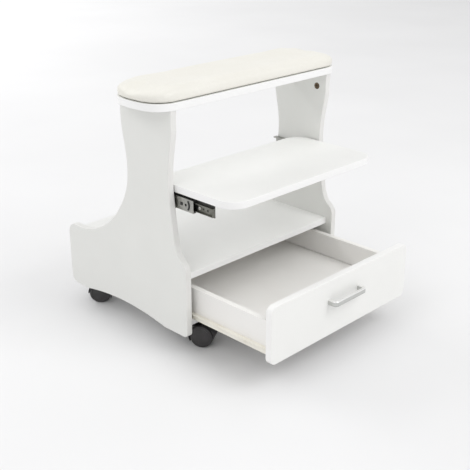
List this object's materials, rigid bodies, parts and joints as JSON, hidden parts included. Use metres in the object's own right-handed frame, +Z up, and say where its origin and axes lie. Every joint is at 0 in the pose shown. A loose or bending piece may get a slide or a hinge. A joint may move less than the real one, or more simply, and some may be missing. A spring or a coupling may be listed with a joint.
{
  "type": "manicure table",
  "caption": "Rolling manicure table with a padded armrest on top, a pull-out shelf, a fixed shelf and an open drawer between waisted side panels.",
  "frame": {"origin": "centre of the bounding box's base, on the floor, with the drawer and the shelf pulled out as modelled", "axes": "+Z up; -Y is the front, where the drawer and the shelf pull out; +X is the right-hand side seen from the back, and the left-hand side panel is at -X"},
  "size_m": [0.557, 0.637, 0.5655],
  "materials": {
    "white_board": "white lacquered board, satin",
    "drawer_board": "white melamine board, matte",
    "plywood": "raw plywood",
    "foam": "open-cell foam",
    "cushion_cover": "ivory leatherette, soft sheen",
    "cam_metal": "dark bronzed zinc, satin",
    "zinc_steel": "zinc plated, satin",
    "beech": "raw beech",
    "cage_plastic": "black, satin",
    "handle_metal": "satin",
    "black_enamel": "black enamel, satin",
    "runner_enamel": "cream powder coat, satin",
    "roller_plastic": "off-white nylon",
    "caster_plastic": "black, satin"
  },
  "bodies": {
    "cabinet": {"side_panel_left": "white_board", "side_panel_right": "white_board", "top_board": "white_board", "fixed_shelf": "white_board", "bottom_board": "white_board", "rear_panel": "white_board", "armrest_backing": "plywood", "armrest_foam": "foam", "armrest_cover": "cushion_cover", "armrest_screws": "zinc_steel", "cabinet_screws": "zinc_steel", "cam_housings": "cam_metal", "cam_bolts": "zinc_steel", "panel_dowels": "beech", "shelf_slide_outer_left": "zinc_steel", "shelf_slide_outer_right": "zinc_steel", "drawer_runner_cabinet_left": "runner_enamel", "drawer_runner_cabinet_right": "runner_enamel", "caster_plates": "zinc_steel"},
    "drawer": {"drawer_front": "white_board", "drawer_side_left": "drawer_board", "drawer_side_right": "drawer_board", "drawer_back": "drawer_board", "drawer_bottom": "drawer_board", "drawer_dowels": "beech", "drawer_handle": "handle_metal", "handle_screws": "zinc_steel", "drawer_runner_left": "runner_enamel", "drawer_runner_right": "runner_enamel", "drawer_runner_screws": "zinc_steel"},
    "shelf": {"pull_out_shelf": "white_board", "shelf_bracket_left": "black_enamel", "shelf_bracket_right": "black_enamel", "shelf_slide_inner_left": "zinc_steel", "shelf_slide_inner_right": "zinc_steel", "shelf_screws": "zinc_steel"},
    "slide_middle_left": {"shelf_slide_middle_left": "zinc_steel"},
    "ball_cage_left": {"shelf_slide_ball_cage_left": "cage_plastic"},
    "cabinet_roller_left": {"cabinet_roller_left": "roller_plastic"},
    "drawer_roller_left": {"drawer_roller_left": "roller_plastic"},
    "slide_middle_right": {"shelf_slide_middle_right": "zinc_steel"},
    "ball_cage_right": {"shelf_slide_ball_cage_right": "cage_plastic"},
    "cabinet_roller_right": {"cabinet_roller_right": "roller_plastic"},
    "drawer_roller_right": {"drawer_roller_right": "roller_plastic"},
    "caster_front_left": {"caster_hood_front_left": "caster_plastic", "caster_axle_front_left": "zinc_steel"},
    "wheel_outer_front_left": {"caster_wheel_outer_front_left": "caster_plastic"},
    "wheel_inner_front_left": {"caster_wheel_inner_front_left": "caster_plastic"},
    "caster_front_right": {"caster_hood_front_right": "caster_plastic", "caster_axle_front_right": "zinc_steel"},
    "wheel_outer_front_right": {"caster_wheel_outer_front_right": "caster_plastic"},
    "wheel_inner_front_right": {"caster_wheel_inner_front_right": "caster_plastic"},
    "caster_rear_left": {"caster_hood_rear_left": "caster_plastic", "caster_axle_rear_left": "zinc_steel"},
    "wheel_outer_rear_left": {"caster_wheel_outer_rear_left": "caster_plastic"},
    "wheel_inner_rear_left": {"caster_wheel_inner_rear_left": "caster_plastic"},
    "caster_rear_right": {"caster_hood_rear_right": "caster_plastic", "caster_axle_rear_right": "zinc_steel"},
    "wheel_outer_rear_right": {"caster_wheel_outer_rear_right": "caster_plastic"},
    "wheel_inner_rear_right": {"caster_wheel_inner_rear_right": "caster_plastic"}
  },
  "joints": [
    {"name": "drawer_slide", "type": "slide", "parent": "cabinet", "child": "drawer", "axis": [0, -1, 0], "range_m": [-0.216, 0.045]},
    {"name": "shelf_slide", "type": "slide", "parent": "cabinet", "child": "shelf", "axis": [0, -1, 0], "range_m": [-0.116, 0.011]},
    {"name": "slide_middle_left", "type": "slide", "parent": "cabinet", "child": "slide_middle_left", "axis": [0, -1, 0], "range_m": [-0.058, 0.0055]},
    {"name": "ball_cage_left", "type": "slide", "parent": "cabinet", "child": "ball_cage_left", "axis": [0, -1, 0], "range_m": [-0.087, 0.00825]},
    {"name": "cabinet_roller_left_spin", "type": "hinge", "parent": "cabinet", "child": "cabinet_roller_left", "pos_m": [-0.2178, -0.0515, 0.08655], "axis": [1, 0, 0], "continuous": true},
    {"name": "drawer_roller_left_spin", "type": "hinge", "parent": "drawer", "child": "drawer_roller_left", "pos_m": [-0.2178, 0.0575, 0.08605], "axis": [1, 0, 0], "continuous": true},
    {"name": "slide_middle_right", "type": "slide", "parent": "cabinet", "child": "slide_middle_right", "axis": [0, -1, 0], "range_m": [-0.058, 0.0055]},
    {"name": "ball_cage_right", "type": "slide", "parent": "cabinet", "child": "ball_cage_right", "axis": [0, -1, 0], "range_m": [-0.087, 0.00825]},
    {"name": "cabinet_roller_right_spin", "type": "hinge", "parent": "cabinet", "child": "cabinet_roller_right", "pos_m": [0.2178, -0.0515, 0.08655], "axis": [1, 0, 0], "continuous": true},
    {"name": "drawer_roller_right_spin", "type": "hinge", "parent": "drawer", "child": "drawer_roller_right", "pos_m": [0.2178, 0.0575, 0.08605], "axis": [1, 0, 0], "continuous": true},
    {"name": "caster_swivel_front_left", "type": "hinge", "parent": "cabinet", "child": "caster_front_left", "pos_m": [-0.181, -0.0405, 0.048], "axis": [0, 0, 1], "continuous": true},
    {"name": "wheel_spin_outer_front_left", "type": "hinge", "parent": "caster_front_left", "child": "wheel_outer_front_left", "pos_m": [-0.171, -0.05782, 0.025], "axis": [0.866, 0.5, 0], "continuous": true},
    {"name": "wheel_spin_inner_front_left", "type": "hinge", "parent": "caster_front_left", "child": "wheel_inner_front_left", "pos_m": [-0.171, -0.05782, 0.025], "axis": [0.866, 0.5, 0], "continuous": true},
    {"name": "caster_swivel_front_right", "type": "hinge", "parent": "cabinet", "child": "caster_front_right", "pos_m": [0.181, -0.0405, 0.048], "axis": [0, 0, 1], "continuous": true},
    {"name": "wheel_spin_outer_front_right", "type": "hinge", "parent": "caster_front_right", "child": "wheel_outer_front_right", "pos_m": [0.17684, -0.06006, 0.025], "axis": [0.9781, -0.2079, 0], "continuous": true},
    {"name": "wheel_spin_inner_front_right", "type": "hinge", "parent": "caster_front_right", "child": "wheel_inner_front_right", "pos_m": [0.17684, -0.06006, 0.025], "axis": [0.9781, -0.2079, 0], "continuous": true},
    {"name": "caster_swivel_rear_left", "type": "hinge", "parent": "cabinet", "child": "caster_rear_left", "pos_m": [-0.181, 0.2555, 0.048], "axis": [0, 0, 1], "continuous": true},
    {"name": "wheel_spin_outer_rear_left", "type": "hinge", "parent": "caster_rear_left", "child": "wheel_outer_rear_left", "pos_m": [-0.19514, 0.26964, 0.025], "axis": [-0.7071, -0.7071, 0], "continuous": true},
    {"name": "wheel_spin_inner_rear_left", "type": "hinge", "parent": "caster_rear_left", "child": "wheel_inner_rear_left", "pos_m": [-0.19514, 0.26964, 0.025], "axis": [-0.7071, -0.7071, 0], "continuous": true},
    {"name": "caster_swivel_rear_right", "type": "hinge", "parent": "cabinet", "child": "caster_rear_right", "pos_m": [0.181, 0.2555, 0.048], "axis": [0, 0, 1], "continuous": true},
    {"name": "wheel_spin_outer_rear_right", "type": "hinge", "parent": "caster_rear_right", "child": "wheel_outer_rear_right", "pos_m": [0.17416, 0.27429, 0.025], "axis": [-0.9397, -0.342, 0], "continuous": true},
    {"name": "wheel_spin_inner_rear_right", "type": "hinge", "parent": "caster_rear_right", "child": "wheel_inner_rear_right", "pos_m": [0.17416, 0.27429, 0.025], "axis": [-0.9397, -0.342, 0], "continuous": true}
  ],
  "couplings": [
    {"joint": "slide_middle_left", "follows": "shelf_slide", "ratio": 0.5},
    {"joint": "ball_cage_left", "follows": "shelf_slide", "ratio": 0.75},
    {"joint": "cabinet_roller_left_spin", "follows": "drawer_slide", "rad_per_m": 135.13},
    {"joint": "drawer_roller_left_spin", "follows": "drawer_slide", "rad_per_m": 135.13},
    {"joint": "slide_middle_right", "follows": "shelf_slide", "ratio": 0.5},
    {"joint": "ball_cage_right", "follows": "shelf_slide", "ratio": 0.75},
    {"joint": "cabinet_roller_right_spin", "follows": "drawer_slide", "rad_per_m": 135.13},
    {"joint": "drawer_roller_right_spin", "follows": "drawer_slide", "rad_per_m": 135.13}
  ]
}
